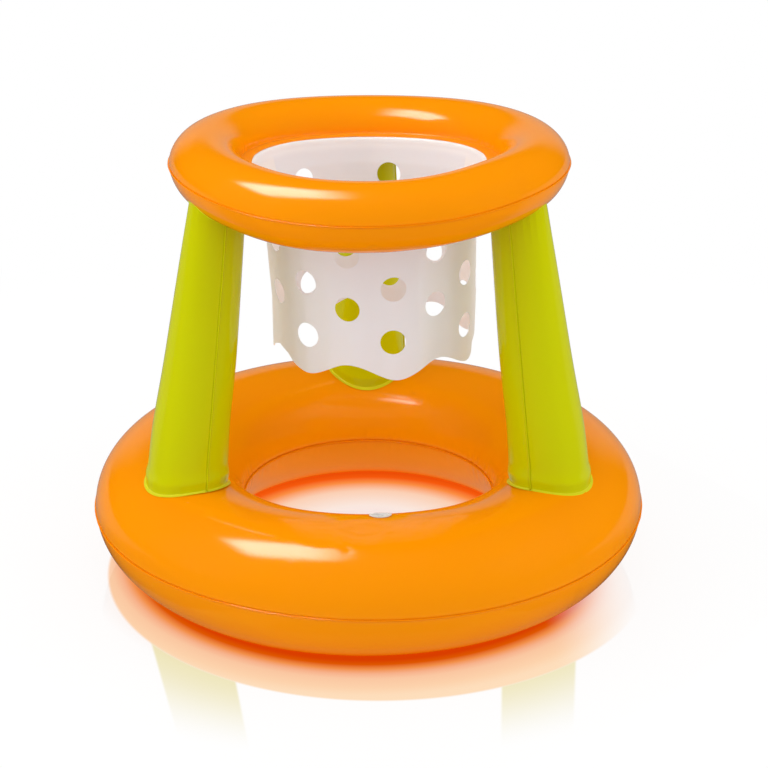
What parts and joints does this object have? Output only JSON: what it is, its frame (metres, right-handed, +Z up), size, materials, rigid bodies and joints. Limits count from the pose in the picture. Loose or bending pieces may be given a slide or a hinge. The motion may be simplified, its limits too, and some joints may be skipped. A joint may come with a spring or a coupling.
{
  "type": "floating basketball hoop",
  "caption": "Inflatable floating hoop: an inflated ring base, tapered inflated legs and an inflated rim with a punched vinyl net, and a push-in air valve in each chamber.",
  "frame": {"origin": "on the hoop's axis, on the plane that the base ring rests on", "axes": "+Z up along the hoop's axis; -Y to the front, the side of the base ring's valve; the legs stand at 90, 208 and 331 degrees from +X"},
  "size_m": [0.6718, 0.6718, 0.5289],
  "materials": {
    "orange_film": "glossy inflated vinyl film",
    "lime_film": "satin inflated vinyl film",
    "net_vinyl": "frosted vinyl sheet",
    "clear_vinyl": "clear soft vinyl moulding"
  },
  "bodies": {
    "hoop": {"base_upper_film": "orange_film", "base_lower_film": "orange_film", "rim_upper_film": "orange_film", "rim_lower_film": "orange_film", "leg_left_outer_film": "lime_film", "leg_left_inner_film": "lime_film", "leg_right_outer_film": "lime_film", "leg_right_inner_film": "lime_film", "leg_rear_outer_film": "lime_film", "leg_rear_inner_film": "lime_film", "net_sheet": "net_vinyl", "base_valve_seat": "clear_vinyl", "rim_valve_seat": "clear_vinyl", "leg_left_valve_seat": "clear_vinyl", "leg_right_valve_seat": "clear_vinyl", "leg_rear_valve_seat": "clear_vinyl"},
    "base_valve_stem": {"base_valve_stem": "clear_vinyl", "base_valve_flap": "clear_vinyl"},
    "base_valve_plug": {"base_valve_plug": "clear_vinyl"},
    "rim_valve_stem": {"rim_valve_stem": "clear_vinyl", "rim_valve_flap": "clear_vinyl"},
    "rim_valve_plug": {"rim_valve_plug": "clear_vinyl"},
    "leg_left_valve_stem": {"leg_left_valve_stem": "clear_vinyl", "leg_left_valve_flap": "clear_vinyl"},
    "leg_left_valve_plug": {"leg_left_valve_plug": "clear_vinyl"},
    "leg_right_valve_stem": {"leg_right_valve_stem": "clear_vinyl", "leg_right_valve_flap": "clear_vinyl"},
    "leg_right_valve_plug": {"leg_right_valve_plug": "clear_vinyl"},
    "leg_rear_valve_stem": {"leg_rear_valve_stem": "clear_vinyl", "leg_rear_valve_flap": "clear_vinyl"},
    "leg_rear_valve_plug": {"leg_rear_valve_plug": "clear_vinyl"}
  },
  "joints": [
    {"name": "base_valve_slide", "type": "slide", "parent": "hoop", "child": "base_valve_stem", "axis": [-0.0127, 0.2509, 0.9679], "range_m": [0, 0.01]},
    {"name": "base_plug_hinge", "type": "hinge", "parent": "base_valve_stem", "child": "base_valve_plug", "pos_m": [0.00385, -0.21825, 0.14666], "axis": [0.049, -0.9667, 0.2512], "range_deg": [0, 100]},
    {"name": "rim_valve_slide", "type": "slide", "parent": "hoop", "child": "rim_valve_stem", "axis": [-0.3863, 0.223, -0.895], "range_m": [0, 0.01]},
    {"name": "rim_plug_hinge", "type": "hinge", "parent": "rim_valve_stem", "child": "rim_valve_plug", "pos_m": [-0.18378, 0.09779, 0.46072], "axis": [-0.7751, 0.4475, 0.446], "range_deg": [0, 100]},
    {"name": "leg_left_valve_slide", "type": "slide", "parent": "hoop", "child": "leg_left_valve_stem", "axis": [0.8774, 0.4665, -0.1119], "range_m": [0, 0.01]},
    {"name": "leg_left_plug_hinge", "type": "hinge", "parent": "leg_left_valve_stem", "child": "leg_left_valve_plug", "pos_m": [-0.16134, -0.07763, 0.30026], "axis": [0.0988, 0.0525, 0.9937], "range_deg": [0, 100]},
    {"name": "leg_right_valve_slide", "type": "slide", "parent": "hoop", "child": "leg_right_valve_stem", "axis": [-0.8691, 0.4817, -0.1119], "range_m": [0, 0.01]},
    {"name": "leg_right_plug_hinge", "type": "hinge", "parent": "leg_right_valve_stem", "child": "leg_right_valve_plug", "pos_m": [0.15297, -0.09303, 0.30026], "axis": [-0.0979, 0.0543, 0.9937], "range_deg": [0, 100]},
    {"name": "leg_rear_valve_slide", "type": "slide", "parent": "hoop", "child": "leg_rear_valve_stem", "axis": [0, -0.9959, -0.0905], "range_m": [0, 0.01]},
    {"name": "leg_rear_plug_hinge", "type": "hinge", "parent": "leg_rear_valve_stem", "child": "leg_rear_valve_plug", "pos_m": [0.0072, 0.17518, 0.30021], "axis": [0, -0.0905, 0.9959], "range_deg": [0, 100]}
  ]
}
